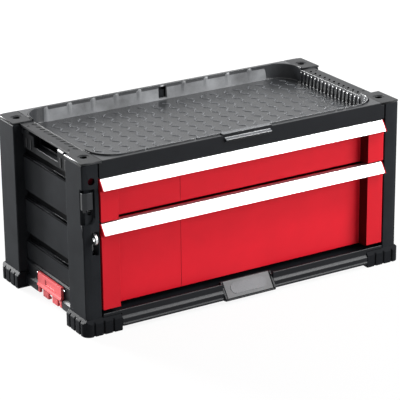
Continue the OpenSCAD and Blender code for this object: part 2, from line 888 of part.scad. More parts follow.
module drawer_tub(z0, h) {
    bottom = z0 + tub_gap;
    y1 = front_back_y + tub_d;
    color("#3a3d41") difference() {
        union() {
            block([-tub_hx, front_back_y, bottom], [tub_hx, y1, bottom + h]);
            // side rims, behind the lock catch
            block([-tub_hx - tub_rim, bar_y + catch_gap + catch_l + 1, bottom + h - 3],
                  [tub_hx + tub_rim, y1, bottom + h]);
        }
        block([-tub_hx + tub_wall, front_back_y + tub_wall, bottom + tub_floor],
              [tub_hx - tub_wall, y1 - tub_wall, bottom + h + 1]);
    }
}

// the tub's side holes follow the slide's rivets, its front holes the bosses of the front
module drilled_tub(z0, h, slide_z, front_h) {
    difference() {
        drawer_tub(z0, h);
        both_x() {
            for (y = [slide_y0 + rivet_inset, slide_y1 - rivet_inset])
                rod_x(tub_hx - tub_wall - eps, tub_hx + eps, y, slide_z, rivet_r);
            front_screw_places(z0, front_h)
                rod_y(-eps, tub_wall + eps, 0, 0, case_screw_r);
        }
    }
}

module front_screw_places(z0, h) {
    for (z = [z0 + 18, z0 + h - mount_h - 6]) translate([boss_x, front_back_y, z]) children();
}

// plan of a drawer front: strips, drafted recess walls and the recessed panel
module front_plan() {
    a = front_hx - strip_w;
    polygon([[front_hx, front_y], [a, front_y], [a - recess_draft, panel_y],
             [-a + recess_draft, panel_y], [-a, front_y], [-front_hx, front_y],
             [-front_hx, front_y + edge_return], [-front_hx + wall, front_y + edge_return],
             [-front_hx + wall, front_y + wall], [-a - wall, front_y + wall],
             [-a - wall + recess_draft, panel_y], [-tub_hx, panel_y], [-tub_hx, front_back_y],
             [tub_hx, front_back_y], [tub_hx, panel_y], [a + wall - recess_draft, panel_y],
             [a + wall, front_y + wall], [front_hx - wall, front_y + wall],
             [front_hx - wall, front_y + edge_return], [front_hx, front_y + edge_return]]);
}

// outline (y, z) of the pull rail for a front whose top is at z
module pull_outline(z) {
    polygon([[pull_back_y, z], [pull_top_y, z], [pull_top_y - pull_out, z - pull_h],
             [pull_top_y - pull_out + pull_t * pull_ny, z - pull_h - pull_t * pull_nz],
             [pull_inner_y, z - pull_t], [pull_back_y - pull_t, z - pull_t],
             [pull_back_y - pull_t, z - pull_leg], [pull_back_y, z - pull_leg]]);
}

// block under the pull rail at each end, shaped to its inside
module pull_mount_outline(z) {
    seat_z = z - pull_t - (pull_inner_y - front_y) * pull_h / pull_out;
    polygon([[front_y, z - mount_h], [front_y, seat_z], [pull_inner_y, z - pull_t],
             [pull_back_y - pull_t, z - pull_t], [pull_back_y - pull_t, z - mount_h]]);
}

// cheek that closes the end of the pull rail
module cheek_outline(z) {
    polygon([[pull_back_y, z], [pull_top_y, z], [pull_top_y - pull_out - 0.4, z - pull_h - 0.4],
             [pull_top_y - pull_out + 1.4, z - pull_h - 2.2], [front_y, z - pull_h - 2.2],
             [front_y, z - mount_h], [front_y + edge_return, z - mount_h], [pull_back_y, z - pull_leg]]);
}

module drawer_front(z0, h) {
    a = front_hx - strip_w;
    top = z0 + h;
    color("#cf2531") difference() {
        union() {
            difference() {
                translate([0, 0, z0]) linear_extrude(h - pull_t - 1) front_plan();
                // strips end a little higher than the panel, and under the pull rail
                both_x() {
                    block([a - 0.01, front_y - 1, z0 - 1], [hx, panel_y - eps, z0 + strip_lift]);
                    block([a - recess_draft - eps, front_y - 1, top - mount_h], [hx, pull_back_y, top + 1]);
                }
            }
            both_x() {
                translate([(a + pull_w / 2) / 2, 0, 0]) along_x(pull_w / 2 - a) pull_mount_outline(top);
                translate([pull_w / 2 + cheek_w / 2, 0, 0]) along_x(cheek_w) cheek_outline(top);
                // wall that ties the mount to the back of the front
                block([a, pull_back_y - pull_t - eps, top - mount_h],
                      [a + wall, panel_y + eps, top - pull_leg - 1]);
                front_screw_places(z0, h) rod_y(-14, -wall + eps, 0, 0, boss_r);
            }
        }
        both_x() {
            front_screw_places(z0, h) rod_y(-13, eps, 0, 0, case_screw_r);
            pull_screw_places(top) rod_y(-8, eps, 0, 0, rivet_r);
        }
    }
}

module pull_screw_places(z) {
    translate([boss_x + 3, pull_back_y - pull_t, z - pull_leg / 2 - pull_t / 2]) children();
}

module drawer_pull(z0, h) {
    color("#f1f3f4") difference() {
        along_x(pull_w) pull_outline(z0 + h);
        both_x() pull_screw_places(z0 + h) rod_y(-eps, pull_t + eps, 0, 0, rivet_r);
    }
}

module drawer_fasteners(z0, h, slide_z) {
    color("#8f9499") both_x() {
        for (y = [slide_y0 + rivet_inset, slide_y1 - rivet_inset]) {
            rod_x(tub_hx - tub_wall, tub_hx + steel_t, y, slide_z, rivet_r);
            rod_x(tub_hx + steel_t, tub_hx + steel_t + 1, y, slide_z, slide_head_r);
            rod_x(tub_hx - tub_wall - 1, tub_hx - tub_wall, y, slide_z, slide_head_r);
        }
        front_screw_places(z0, h) {
            rod_y(-12, tub_wall, 0, 0, case_screw_r);
            rod_y(tub_wall, tub_wall + 2, 0, 0, case_head_r);
        }
        pull_screw_places(z0 + h) {
            rod_y(-7, pull_t, 0, 0, rivet_r);
            rod_y(pull_t, pull_t + 1.4, 0, 0, slide_head_r - 0.4);
        }
    }
}

// steel angle on the drawer's left side that the lock's tooth stands in front of
module lock_catch(tooth_z) {
    y0 = bar_y + catch_gap;
    z0 = tooth_z - lock_travel - 1;
    z1 = tooth_z - 1;
    color("#8f9499") mirror([1, 0, 0]) {
        block([tub_hx, y0, z0], [tub_hx + catch_t, y0 + catch_l, z1]);
        block([tub_hx, y0, z0], [tub_hx + catch_w, y0 + catch_t, z1]);
    }
}

// ---------- lock, drawn at +X and mirrored to the left ----------

module lock_bar() {
    color("#9a9ea3") mirror([1, 0, 0]) {
        block([bar_x0, bar_y - bar_t, lower_tooth_z - 6], [bar_x1, bar_y, bar_top]);
        for (z = [upper_tooth_z, lower_tooth_z])
            block([bar_x0 - tooth_reach, bar_y - bar_t, z], [bar_x0 + eps, bar_y, z + tooth_h]);
    }
}

// thumb slider around the post's corner, with its stem and a small nub below
module lock_slider() {
    y0 = -hy + 0.5;
    y1 = -hy + channel_deep - 0.4;
    color("#3f4347") mirror([1, 0, 0]) {
        difference() {
            union() {
                block([hx - 16, y0, knob_z], [hx - 0.5, y1, knob_z + knob_h]);
                block([hx - channel_side + 0.4, y0, knob_z],
                      [hx - 0.5, -hy + channel_back - 0.6, knob_z + knob_h]);
                block([hx - 5, y0 + 0.5, knob_z - 3.5], [hx - 1.5, y1, knob_z + eps]);
            }
            // bevel that makes two upright facets
            translate([0, 0, knob_z - 5]) linear_extrude(knob_h + 10)
                polygon([[hx, y0 - 1], [hx, y0 + 3.5], [hx - 7, y0], [hx - 7, y0 - 1]]);
        }
        block([stem_x, y1 - eps, stem_z], [stem_x + stem_w, bar_y - bar_t, stem_z + stem_h]);
    }
}

module padlock_eye() {
    y0 = -hy - eye_out;
    r = eye_h / 2;
    color("#d5d8da") mirror([1, 0, 0]) difference() {
        union() {
            block([eye_x, y0 + r, eye_z], [eye_x + eye_t, bar_y - bar_t, eye_z + eye_h]);
            rod_x(eye_x, eye_x + eye_t, y0 + r, eye_z + r, r);
        }
        rod_x(eye_x - 1, eye_x + eye_t + 1, y0 + r - 1.5, eye_z + r, eye_hole_r);
    }
}

module lock_flag() {
    color("#c8202c") mirror([1, 0, 0])
        block([bar_x0 - 1, -hy + channel_deep + wall + 0.5, window_z - flag_h / 2],
              [bar_x1, bar_y - bar_t, window_z + flag_h / 2]);
}

// ---------- handles and latches ----------

// drop handle at +X: two legs, a grip bar and ribs under the grip
module handle() {
    low = pivot_z - handle_drop;
    x0 = pivot_x - handle_in;
    x1 = pivot_x + handle_out;
    difference() {
        union() {
            along_y(-handle_w / 2, handle_w / 2) union() {
                translate([pivot_x, pivot_z]) circle(r = handle_hub_r);
                translate([x0, low]) square([x1 - x0, handle_drop]);
            }
            // two upright ridges on each leg
            both_y() for (i = [0, 1]) translate([x1, grip_w / 2 + ridge_in + i * ridge_pitch, 0])
                block([-eps, 0, low + ridge_w], [ridge_out, ridge_w, pivot_z - 7]);
        }
        // finger opening
        block([x0 - 1, -grip_w / 2, low + grip_h], [x1 + 1, grip_w / 2, pivot_z + handle_hub_r + 1]);
        // hollows behind the legs
        both_y() block([x0 - 1, grip_w / 2 + wall, low + wall],
                       [x1 - wall, handle_w / 2 - 18, pivot_z - handle_hub_r - 1]);
        // notches between the ribs under the grip
        for (i = [-4:4]) translate([0, i * rib_pitch, 0])
            block([x0 - 1, -rib_gap / 2, low - 1], [x1 - wall, rib_gap / 2, low + wall]);
        both_y() rod_y(handle_w / 2 - 14, handle_w / 2 + 1, pivot_x, pivot_z, handle_pin_r + fit);
    }
}

module left_handle() {
    color("#75787b") mirror([1, 0, 0]) handle();
}

module right_handle() {
    color("#75787b") handle();
}

module handle_pins() {
    color("#b8bcc0") both_x() both_y()
        rod_y(handle_w / 2 - 12, post_back + wall, pivot_x, pivot_z, handle_pin_r);
}

// stacking latch at +X: plate, finger ridge and two hooks
module latch() {
    x0 = latch_x - latch_t;
    difference() {
        union() {
            block([x0, -latch_w / 2, latch_ridge_z + 3], [latch_x, latch_w / 2, latch_top]);
            along_y(-latch_w / 2, latch_w / 2)
                polygon([[latch_x - eps, latch_ridge_z + 6], [latch_x + latch_ridge_out, latch_ridge_z + 2],
                         [latch_x + latch_ridge_out, latch_ridge_z], [x0, latch_ridge_z],
                         [x0, latch_ridge_z + 6]]);
            rod_y(-latch_w / 2, latch_w / 2, latch_pin_x, latch_pin_z, latch_hub_r);
            // hooks
            both_y() translate([0, latch_hook_w / 3, 0]) {
                block([x0, 0, latch_hook_z], [latch_x - 1, latch_hook_w, latch_ridge_z + 1]);
                block([x0 - 2.5, 0, latch_hook_z], [x0 + eps, latch_hook_w, latch_bottom + 1]);
            }
            both_y() block([x0, latch_w / 2 - latch_tab_w, latch_bottom],
                           [latch_x, latch_w / 2, latch_ridge_z + 1]);
        }
        both_y() rod_y(latch_w / 2 - 12, latch_w / 2 + 1, latch_pin_x, latch_pin_z, latch_pin_r + fit);
        // shallow field in the middle of the plate
        block([latch_x - latch_field_depth, -latch_field_w / 2, latch_ridge_z + 9],
              [latch_x + 1, latch_field_w / 2, latch_top - 5]);
    }
}

module left_latch() {
    color("#e0333d") mirror([1, 0, 0]) latch();
}

module right_latch() {
    color("#e0333d") latch();
}

module latch_pins() {
    color("#b8bcc0") both_x() both_y()
        rod_y(latch_w / 2 - 11, latch_w / 2 + 6, latch_pin_x, latch_pin_z, latch_pin_r);
}

// ---------- sub-parts ----------

module upper_drawer_tub() {
    drilled_tub(upper_z, upper_tub_h, upper_slide_z, upper_front_h);
}

module upper_drawer_front() {
    drawer_front(upper_z, upper_front_h);
}

module upper_drawer_pull() {
    drawer_pull(upper_z, upper_front_h);
}

module upper_drawer_slides() {
    drawer_slides(upper_slide_z);
}

module upper_drawer_fasteners() {
    drawer_fasteners(upper_z, upper_front_h, upper_slide_z);
}

module upper_lock_catch() {
    lock_catch(upper_tooth_z);
}

module upper_ball_cages() {
    ball_cages(upper_slide_z);
}

module upper_balls() {
    ball_rows(upper_slide_z);
}

module lower_drawer_tub() {
    drilled_tub(lower_z, lower_tub_h, lower_slide_z, lower_front_h);
}

module lower_drawer_front() {
    drawer_front(lower_z, lower_front_h);
}

module lower_drawer_pull() {
    drawer_pull(lower_z, lower_front_h);
}

module lower_drawer_slides() {
    drawer_slides(lower_slide_z);
}

module lower_drawer_fasteners() {
    drawer_fasteners(lower_z, lower_front_h, lower_slide_z);
}

module lower_lock_catch() {
    lock_catch(lower_tooth_z);
}

module lower_ball_cages() {
    ball_cages(lower_slide_z);
}

module lower_balls() {
    ball_rows(lower_slide_z);
}

base_frame();
corner_feet();
left_side();
right_side();
left_front_post();
right_front_post();
left_rear_post();
right_rear_post();
left_handle_housing();
right_handle_housing();
back_panel();
top_tray();
left_top_cap();
right_top_cap();
badge_plate();
badge_inlay();
cabinet_slides();
cabinet_slide_screws();
case_screws();
handle_pins();
latch_pins();
upper_drawer_tub();
upper_drawer_front();
upper_drawer_pull();
upper_drawer_slides();
upper_drawer_fasteners();
upper_lock_catch();
upper_ball_cages();
upper_balls();
lower_drawer_tub();
lower_drawer_front();
lower_drawer_pull();
lower_drawer_slides();
lower_drawer_fasteners();
lower_lock_catch();
lower_ball_cages();
lower_balls();
lock_bar();
lock_slider();
padlock_eye();
lock_flag();
left_handle();
right_handle();
left_latch();
right_latch();
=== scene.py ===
# %% [markdown]
# # A stackable tool box with two drawers
#
# This lesson dresses a measured model of a plastic tool box: black posts and
# feet, a shallow tray on top, two red drawers with aluminium pulls, drop
# handles, stacking latches and a central lock. The measured solids are loaded
# as a fixed frame. Each later cell gives one piece its edges, its small relief
# or its finish. Lengths are in metres.

import json
import math

import bmesh
import bpy
from mathutils import Matrix, Vector


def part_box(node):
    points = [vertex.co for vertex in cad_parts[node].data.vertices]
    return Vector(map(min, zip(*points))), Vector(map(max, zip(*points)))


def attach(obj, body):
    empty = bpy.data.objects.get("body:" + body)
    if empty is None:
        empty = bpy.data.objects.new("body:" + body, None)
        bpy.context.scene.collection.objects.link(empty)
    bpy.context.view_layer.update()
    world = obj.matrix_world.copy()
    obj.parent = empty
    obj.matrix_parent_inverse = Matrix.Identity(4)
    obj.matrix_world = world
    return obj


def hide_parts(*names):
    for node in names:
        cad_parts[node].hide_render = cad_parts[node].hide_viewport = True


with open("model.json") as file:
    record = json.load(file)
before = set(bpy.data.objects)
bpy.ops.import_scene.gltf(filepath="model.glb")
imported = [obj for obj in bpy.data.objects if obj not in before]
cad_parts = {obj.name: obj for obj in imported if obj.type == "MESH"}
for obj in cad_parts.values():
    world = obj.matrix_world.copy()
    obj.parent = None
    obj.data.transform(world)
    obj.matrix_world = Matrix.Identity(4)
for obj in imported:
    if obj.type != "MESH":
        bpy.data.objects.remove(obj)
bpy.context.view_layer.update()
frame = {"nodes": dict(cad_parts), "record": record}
nodes = frame["nodes"]

# %% [markdown]
# ## Camera
#
# The box stands on a table and is seen from the front left and a little above,
# with a long lens, so that upright edges stay nearly upright. The camera is set
# up from its position and three angles, which is easier to read than a matrix.

# %% Camera
azimuth = math.radians(31.067)
elevation = math.radians(20.618)
roll = math.radians(-0.591)
camera_place = Vector((-1.4969, -2.4826, 1.2049))

look = Vector((math.sin(azimuth) * math.cos(elevation),
               math.cos(azimuth) * math.cos(elevation), -math.sin(elevation)))
level = Vector((math.cos(azimuth), -math.sin(azimuth), 0.0))
rise = level.cross(look)
right = level * math.cos(roll) + rise * math.sin(roll)
up = rise * math.cos(roll) - level * math.sin(roll)

lens = bpy.data.cameras.new("studio_lens")
lens.lens = 179.69
lens.sensor_width = 36.0
lens.clip_end = 50.0
camera = bpy.data.objects.new("studio_camera", lens)
camera.matrix_world = Matrix((
    (right.x, up.x, -look.x, camera_place.x),
    (right.y, up.y, -look.y, camera_place.y),
    (right.z, up.z, -look.z, camera_place.z),
    (0.0, 0.0, 0.0, 1.0),
))
bpy.context.scene.collection.objects.link(camera)
bpy.context.scene.camera = camera
bpy.context.scene.view_settings.view_transform = "Standard"
print("camera looks along", [round(v, 3) for v in look])

# %% [markdown]
# ## Room
#
# A product of black plastic is mostly seen by what it mirrors. A white room all
# round gives every face something pale to show. The room is pure white only to
# the camera and to reflections; for plain light it is much weaker, so that the
# lamps can shape the thing.

# %% Room
world = bpy.data.worlds.new("white_room")
bpy.context.scene.world = world
world.use_nodes = True
room = world.node_tree
room.nodes.clear()


def light_path_switch(tree, seen, lit):
    """Mixes two shaders: seen for camera, mirror and glass rays, lit for the rest."""
    path = tree.nodes.new("ShaderNodeLightPath")
    either = tree.nodes.new("ShaderNodeMath")
    either.operation = "MAXIMUM"
    tree.links.new(path.outputs["Is Camera Ray"], either.inputs[0])
    tree.links.new(path.outputs["Is Glossy Ray"], either.inputs[1])
    any_of = tree.nodes.new("ShaderNodeMath")
    any_of.operation = "MAXIMUM"
    tree.links.new(either.outputs[0], any_of.inputs[0])
    tree.links.new(path.outputs["Is Transmission Ray"], any_of.inputs[1])
    mix = tree.nodes.new("ShaderNodeMixShader")
    tree.links.new(any_of.outputs[0], mix.inputs["Fac"])
    tree.links.new(lit.outputs[0], mix.inputs[1])
    tree.links.new(seen.outputs[0], mix.inputs[2])
    return mix


room_seen = room.nodes.new("ShaderNodeBackground")
room_seen.inputs["Color"].default_value = (1.0, 1.0, 1.0, 1.0)
room_seen.inputs["Strength"].default_value = 1.0
room_lit = room.nodes.new("ShaderNodeBackground")
room_lit.inputs["Color"].default_value = (0.97, 0.985, 1.0, 1.0)
room_lit.inputs["Strength"].default_value = 0.12
room_mix = light_path_switch(room, room_seen, room_lit)
room_out = room.nodes.new("ShaderNodeOutputWorld")
room.links.new(room_mix.outputs[0], room_out.inputs["Surface"])
print("room light for plain surfaces:", room_lit.inputs["Strength"].default_value)

# %% [markdown]
# ## Lamps
#
# Four soft boxes do the shaping. The first stands at the front right, so the
# red fronts grow brighter to the right and the walls of their recess that face
# left stay dark. The second stands behind on the left and only grazes the left
# side, so that the rear post throws its shadow onto the panel beside it. The
# other two are small and bright and are placed by mirror geometry: one behind
# on the left, where an edge between a left side and a top mirrors it, and one
# high at the front right, which does the same for the front edges.

# %% Lamps


def soft_lamp(name, place, aim, width, height, radiance):
    """A rectangular soft box that faces aim, given by how bright its face looks."""
    data = bpy.data.lights.new(name, "AREA")
    data.shape = "RECTANGLE"
    data.size = width
    data.size_y = height
    data.energy = radiance * math.pi * width * height
    lamp = bpy.data.objects.new(name, data)
    lamp.location = place
    lamp.rotation_euler = (Vector(aim) - Vector(place)).to_track_quat("-Z", "Y").to_euler()
    bpy.context.scene.collection.objects.link(lamp)
    return lamp


middle = (0.0, 0.0, 0.13)
lamps = [
    soft_lamp("front_lamp", (1.5, -1.7, 1.0), middle, 1.6, 1.2, 7.1),
    soft_lamp("left_lamp", (-0.62, 2.5, 0.4), middle, 0.45, 0.7, 300.0),
    soft_lamp("left_edge_lamp", (-1.0, 2.4, 1.5), middle, 0.8, 0.8, 38.0),
    soft_lamp("front_edge_lamp", (1.27, -0.86, 2.0), middle, 0.8, 0.8, 20.0),
]
for lamp in lamps:
    print(lamp.name, "gives", round(lamp.data.energy, 1), "watts")

# %% [markdown]
# ## Floor
#
# The floor is a plain pale sheet. To the camera it shines just enough to be
# white, but it is mixed with a plain matte surface, so that the box still
# darkens it where it stands. The matte part is a mid grey, so that little light
# is thrown back up into the recesses. Further away, where the lamps don't
# reach, the shine grows a little, so that no horizon shows.

# %% Floor
floor_mesh = bpy.data.meshes.new("floor_sheet")
reach = 12.0
floor_corners = [(-reach, -reach, 0), (reach, -reach, 0), (reach, reach, 0), (-reach, reach, 0)]
floor_mesh.from_pydata(floor_corners, [], [(0, 1, 2, 3)])
floor = bpy.data.objects.new("floor_sheet", floor_mesh)
bpy.context.scene.collection.objects.link(floor)
floor_paint = bpy.data.materials.new("pale_floor")
floor_paint.use_nodes = True
sheet = floor_paint.node_tree
sheet.nodes.clear()
floor_matte = sheet.nodes.new("ShaderNodeBsdfDiffuse")
floor_matte.inputs["Color"].default_value = (0.45, 0.45, 0.45, 1.0)
floor_glow = sheet.nodes.new("ShaderNodeEmission")
floor_shade = sheet.nodes.new("ShaderNodeMixShader")
floor_shade.inputs["Fac"].default_value = 0.8
floor_place = sheet.nodes.new("ShaderNodeTexCoord")
distance = sheet.nodes.new("ShaderNodeVectorMath")
distance.operation = "LENGTH"
fade = sheet.nodes.new("ShaderNodeMapRange")
fade.inputs["From Min"].default_value = 1.0
fade.inputs["From Max"].default_value = 3.0
fade.inputs["To Min"].default_value = 1.13
fade.inputs["To Max"].default_value = 1.26
sheet.links.new(floor_place.outputs["Object"], distance.inputs[0])
sheet.links.new(distance.outputs["Value"], fade.inputs["Value"])
sheet.links.new(fade.outputs[0], floor_glow.inputs["Strength"])
sheet.links.new(floor_matte.outputs[0], floor_shade.inputs[1])
sheet.links.new(floor_glow.outputs[0], floor_shade.inputs[2])
floor_mix = light_path_switch(sheet, floor_shade, floor_matte)
floor_out = sheet.nodes.new("ShaderNodeOutputMaterial")
sheet.links.new(floor_mix.outputs[0], floor_out.inputs["Surface"])
floor_mesh.materials.append(floor_paint)
print("floor", 2 * reach, "m wide")

# %% [markdown]
# ## Tools for materials
#
# Every material below is built from a few parts: a shader, a noise in the box's
# own coordinates, and three uses of that noise, as a value, a colour or a bump.

# %% Tools for materials
NOISE_LOW, NOISE_HIGH = 0.3, 0.7  # nearly all values of a noise lie between these


def new_material(name):
    """An empty node material with a Principled shader: (material, tree, shader)."""
    mat = bpy.data.materials.new(name)
    mat.use_nodes = True
    tree = mat.node_tree
    tree.nodes.clear()
    shader = tree.nodes.new("ShaderNodeBsdfPrincipled")
    out = tree.nodes.new("ShaderNodeOutputMaterial")
    tree.links.new(shader.outputs[0], out.inputs["Surface"])
    return mat, tree, shader


def object_noise(tree, scale, detail=2.0, stretch=(1.0, 1.0, 1.0)):
    """Noise in the box's own coordinates, stretched along its axes."""
    coords = tree.nodes.new("ShaderNodeTexCoord")
    mapping = tree.nodes.new("ShaderNodeMapping")
    mapping.inputs["Scale"].default_value = stretch
    noise = tree.nodes.new("ShaderNodeTexNoise")
    noise.inputs["Scale"].default_value = scale
    noise.inputs["Detail"].default_value = detail
    tree.links.new(coords.outputs["Object"], mapping.inputs["Vector"])
    tree.links.new(mapping.outputs[0], noise.inputs["Vector"])
    return noise


def spread(tree, value, low, high):
    """Maps a noise value to low to high."""
    span = tree.nodes.new("ShaderNodeMapRange")
    span.inputs["From Min"].default_value = NOISE_LOW
    span.inputs["From Max"].default_value = NOISE_HIGH
    span.inputs["To Min"].default_value = low
    span.inputs["To Max"].default_value = high
    tree.links.new(value, span.inputs["Value"])
    return span.outputs[0]


def two_tone(tree, value, dark, pale):
    """Mixes two colours by a noise value."""
    ramp = tree.nodes.new("ShaderNodeValToRGB")
    ramp.color_ramp.elements[0].position = NOISE_LOW
    ramp.color_ramp.elements[0].color = (*dark, 1.0)
    ramp.color_ramp.elements[1].position = NOISE_HIGH
    ramp.color_ramp.elements[1].color = (*pale, 1.0)
    tree.links.new(value, ramp.inputs[0])
    return ramp.outputs["Color"]


def bump(tree, shader, height, distance):
    """Feeds a height into the shader's normal."""
    node = tree.nodes.new("ShaderNodeBump")
    node.inputs["Distance"].default_value = distance
    node.inputs["Strength"].default_value = 1.0
    tree.links.new(height, node.inputs["Height"])
    tree.links.new(node.outputs[0], shader.inputs["Normal"])


print("noise is read from", NOISE_LOW, "to", NOISE_HIGH)

# %% [markdown]
# ## Moulded plastic
#
# Nearly everything here is injection-moulded plastic. Its colour is even, with
# faint clouds where the melt cooled at different speeds, and its skin carries a
# spark-eroded grain finer than a millimetre. One function makes all of the
# plastics: it takes the colour, the gloss and the depth of the grain, so that
# the pieces look like one family.

# %% Plastic
CLOUD_SCALE, GRAIN_SCALE = 26.0, 1500.0  # how many fit in a metre


def moulded_plastic(name, colour, roughness, specular, grain=0.00003, clouds=0.15):
    """Plastic with faint clouds in its colour and a fine grain in its skin."""
    mat, tree, shader = new_material(name)
    cloud = object_noise(tree, CLOUD_SCALE, 3.0)
    dark = tuple(c * (1 - clouds) for c in colour)
    pale = tuple(c * (1 + clouds) for c in colour)
    tree.links.new(two_tone(tree, cloud.outputs["Fac"], dark, pale), shader.inputs["Base Color"])
    pits = object_noise(tree, GRAIN_SCALE, 1.0)
    tree.links.new(spread(tree, pits.outputs["Fac"], roughness - 0.04, roughness + 0.05),
                   shader.inputs["Roughness"])
    shader.inputs["Specular IOR Level"].default_value = specular
    bump(tree, shader, pits.outputs["Fac"], grain)
    return mat


case_black = (0.0075, 0.0085, 0.0105)
side_black = (0.02, 0.0218, 0.0245)
tray_black = (0.016, 0.0172, 0.019)
deep_red = (0.64, 0.0105, 0.022)

finishes = {
    "case_plastic": moulded_plastic("black case plastic", case_black, 0.4, 0.15),
    "side_plastic": moulded_plastic("black side plastic", side_black, 0.42, 0.02),
    "tray_plastic": moulded_plastic("tray plastic", tray_black, 0.36, 0.28),
    "tub_plastic": moulded_plastic("drawer box plastic", (0.018, 0.019, 0.021), 0.4, 0.25),
    "handle_plastic": moulded_plastic("handle plastic", (0.01, 0.011, 0.0125), 0.42, 0.03),
    "slider_plastic": moulded_plastic("lock slider plastic", (0.02, 0.022, 0.025), 0.34, 0.3),
    "drawer_red": moulded_plastic("red drawer plastic", deep_red, 0.34, 0.17, 0.000012, 0.03),
    "latch_red": moulded_plastic("red latch plastic", (0.78, 0.1, 0.11), 0.36, 0.3, 0.00001, 0.03),
    "flag_red": moulded_plastic("red flag plastic", (0.36, 0.008, 0.03), 0.35, 0.2, 0.00001),
    "badge_grey": moulded_plastic("badge grey plastic", (0.12, 0.123, 0.127), 0.42, 0.3),
    "inlay_grey": moulded_plastic("badge inlay plastic", (0.11, 0.112, 0.12), 0.3, 0.4),
}
print(len(finishes), "plastics")

# %% [markdown]
# ## Metals
#
# The pulls are extruded aluminium, brushed along their length and anodised, so
# their highlight is drawn out across the brush lines. The slides, screws and
# lock bar are zinc plated steel, which is greyer and has a soft spangle. The
# padlock eye is bright plated steel, the balls are polished, and the cages are
# stamped brass. Real metal has no plain colour of its own, so each is metallic
# with a pale tint, and its roughness tells which metal it is.

# %% Metals
BRUSH_SCALE, BRUSH_DEPTH = 900.0, 0.000008
STREAK_TONE, PATCH_TONE = 0.93, 0.88  # how dark the dark places are, as a share of the tint


def brushed_metal(name, tint, roughness, along, lines=1.0):
    """Metal with fine lines drawn out along one axis, whose stretch is small."""
    mat, tree, shader = new_material(name)
    shader.inputs["Metallic"].default_value = 1.0
    streaks = object_noise(tree, BRUSH_SCALE * lines, 3.0, along)
    tone = tuple(STREAK_TONE * c for c in tint)
    tree.links.new(two_tone(tree, streaks.outputs["Fac"], tone, tint), shader.inputs["Base Color"])
    tree.links.new(spread(tree, streaks.outputs["Fac"], roughness - 0.05, roughness + 0.06),
                   shader.inputs["Roughness"])
    bump(tree, shader, streaks.outputs["Fac"], BRUSH_DEPTH)
    return mat


def plated_metal(name, tint, roughness, spangle=220.0):
    """Smooth plated metal with a soft uneven sheen."""
    mat, tree, shader = new_material(name)
    shader.inputs["Metallic"].default_value = 1.0
    patches = object_noise(tree, spangle, 2.0)
    tone = tuple(PATCH_TONE * c for c in tint)
    tree.links.new(two_tone(tree, patches.outputs["Fac"], tone, tint), shader.inputs["Base Color"])
    tree.links.new(spread(tree, patches.outputs["Fac"], roughness - 0.04, roughness + 0.05),
                   shader.inputs["Roughness"])
    return mat


along_x = (0.01, 1.0, 1.0)
along_y = (1.0, 0.02, 1.0)
along_z = (1.0, 1.0, 0.02)
finishes["pull_aluminium"] = brushed_metal("brushed aluminium", (0.93, 0.94, 0.95), 0.3, along_x)
finishes["slide_steel"] = brushed_metal("zinc slide steel", (0.68, 0.7, 0.72), 0.3, along_y, 0.7)
finishes["fastener_steel"] = plated_metal("zinc screw steel", (0.6, 0.61, 0.63), 0.28)
finishes["lock_steel"] = brushed_metal("lock bar steel", (0.62, 0.63, 0.65), 0.32, along_z, 0.7)
finishes["ball_steel"] = plated_metal("polished ball steel", (0.86, 0.87, 0.89), 0.08, 90.0)
finishes["cage_brass"] = plated_metal("stamped brass", (0.8, 0.6, 0.26), 0.26)
finishes["eye_chrome"] = plated_metal("plated eye steel", (0.6, 0.61, 0.62), 0.3)
print(len(finishes), "finishes:", sorted(finishes))

# %% [markdown]
# ## Edges with a painted highlight
#
# The narrow band of a rounded edge gets a finish of its own. It is glossier
# than the faces beside it and carries a fine scatter of scuffs, and its paler
# colour is a painted highlight that draws a bright line round every black
# piece. So each black plastic has a second finish for its edges. The red ones
# lose their grain and get a paler red, which is a painted highlight too.

# %% Edge finishes
SCUFF_SCALE, SCUFF_TONE = 420.0, 0.75


def painted_highlight_edge(name, colour, roughness, specular):
    """A glossier, paler copy of a plastic for edge bands: a painted highlight, with scuffs."""
    mat, tree, shader = new_material(name)
    scuffs = object_noise(tree, SCUFF_SCALE, 4.0)
    dull = tuple(SCUFF_TONE * c for c in colour)
    tree.links.new(two_tone(tree, scuffs.outputs["Fac"], dull, colour), shader.inputs["Base Color"])
    tree.links.new(spread(tree, scuffs.outputs["Fac"], roughness - 0.06, roughness + 0.1),
                   shader.inputs["Roughness"])
    shader.inputs["Specular IOR Level"].default_value = specular
    return mat


# Each edge colour is paler than its plastic: a painted highlight.
black_highlight_edge = painted_highlight_edge("black edge with painted highlight", (0.05, 0.054, 0.06), 0.24, 0.7)
side_highlight_edge = painted_highlight_edge("side edge with painted highlight", (0.17, 0.18, 0.195), 0.2, 1.0)
tray_highlight_edge = painted_highlight_edge("tray edge with painted highlight", (0.12, 0.128, 0.14), 0.22, 1.0)
red_highlight_edge = painted_highlight_edge("red edge with painted highlight", (0.8, 0.03, 0.05), 0.25, 0.5)
latch_highlight_edge = painted_highlight_edge("latch edge with painted highlight", (0.96, 0.3, 0.3), 0.25, 0.5)
highlight_edge_finish = {
    "case_plastic": black_highlight_edge, "side_plastic": side_highlight_edge, "tray_plastic": tray_highlight_edge,
    "tub_plastic": tray_highlight_edge, "handle_plastic": side_highlight_edge, "slider_plastic": side_highlight_edge,
    "drawer_red": red_highlight_edge, "latch_red": latch_highlight_edge,
}
print("edge finishes for", sorted(highlight_edge_finish))

# %% [markdown]
# ## Every solid gets its finish
#
# The record says which finish each solid is made of. Solids that stay as they
# are get it straight away; the ones that are rounded later bring it along.

# %% Finishes onto the solids
slot_of = {part["node"]: part["material_slot"] for part in frame["record"]["subparts"]}
body_of = {node: body for body, members in frame["record"]["behaviour"]["bodies"].items()
           for node in members}

for name, obj in nodes.items():
    if name in slot_of:
        if not obj.material_slots:
            obj.data.materials.append(finishes[slot_of[name]])
        for held in obj.material_slots:
            held.material = finishes[slot_of[name]]
print("painted", len(nodes), "solids")
